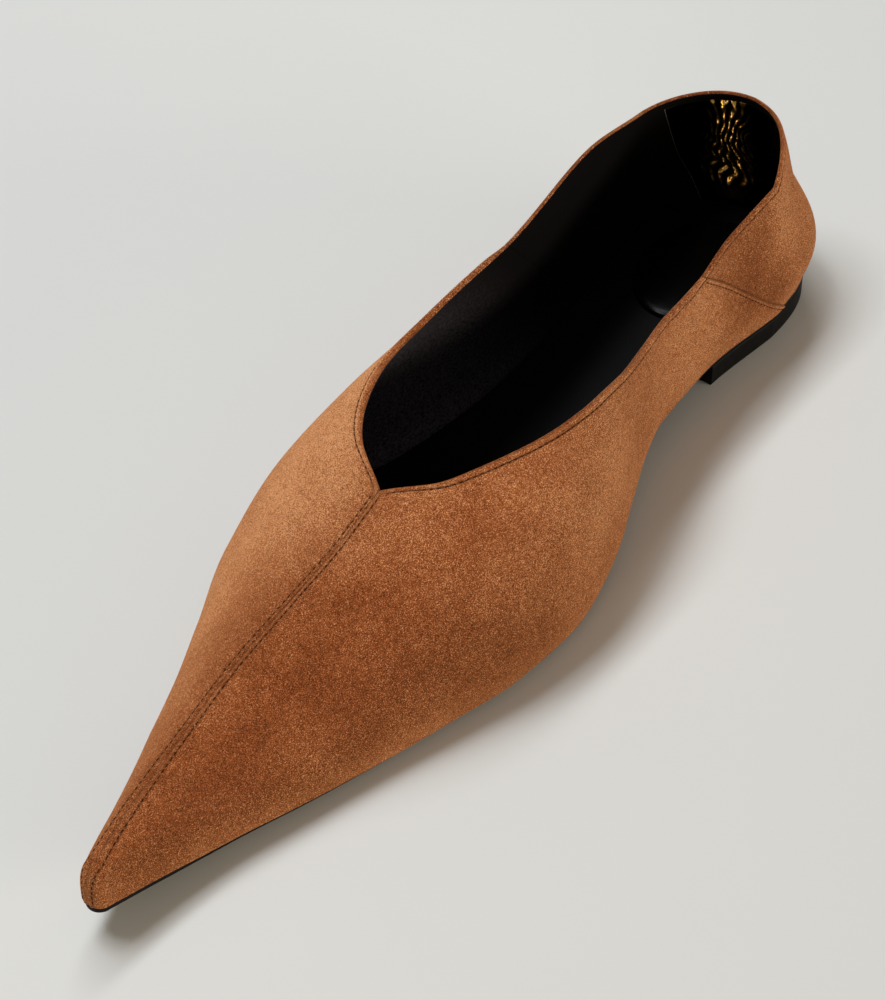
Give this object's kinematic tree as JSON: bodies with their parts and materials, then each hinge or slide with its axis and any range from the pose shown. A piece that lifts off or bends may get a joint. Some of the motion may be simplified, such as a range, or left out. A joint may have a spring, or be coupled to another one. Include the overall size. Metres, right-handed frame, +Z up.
{
  "type": "ballet flat",
  "caption": "Pointed-toe suede ballet flat with a V throat, a soft back panel joined at slanting seams, a thin sole and a low block heel.",
  "frame": {"origin": "on the floor under the middle of the heel", "axes": "+X towards the toe, +Y towards the wearer's left (outer side), +Z up"},
  "size_m": [0.2919, 0.0843, 0.0624],
  "materials": {
    "tan_suede": "tan suede with a soft brushed nap, lined in black",
    "black_sock": "matt black lining leather",
    "black_patent": "glossy black patent leather",
    "black_sole": "thin black sole leather with a smooth edge",
    "black_heel": "satin black heel block"
  },
  "bodies": {
    "root": {"upper": "tan_suede", "insole": "black_sock", "heel_pad": "black_patent", "outsole": "black_sole", "heel": "black_heel"}
  },
  "joints": []
}
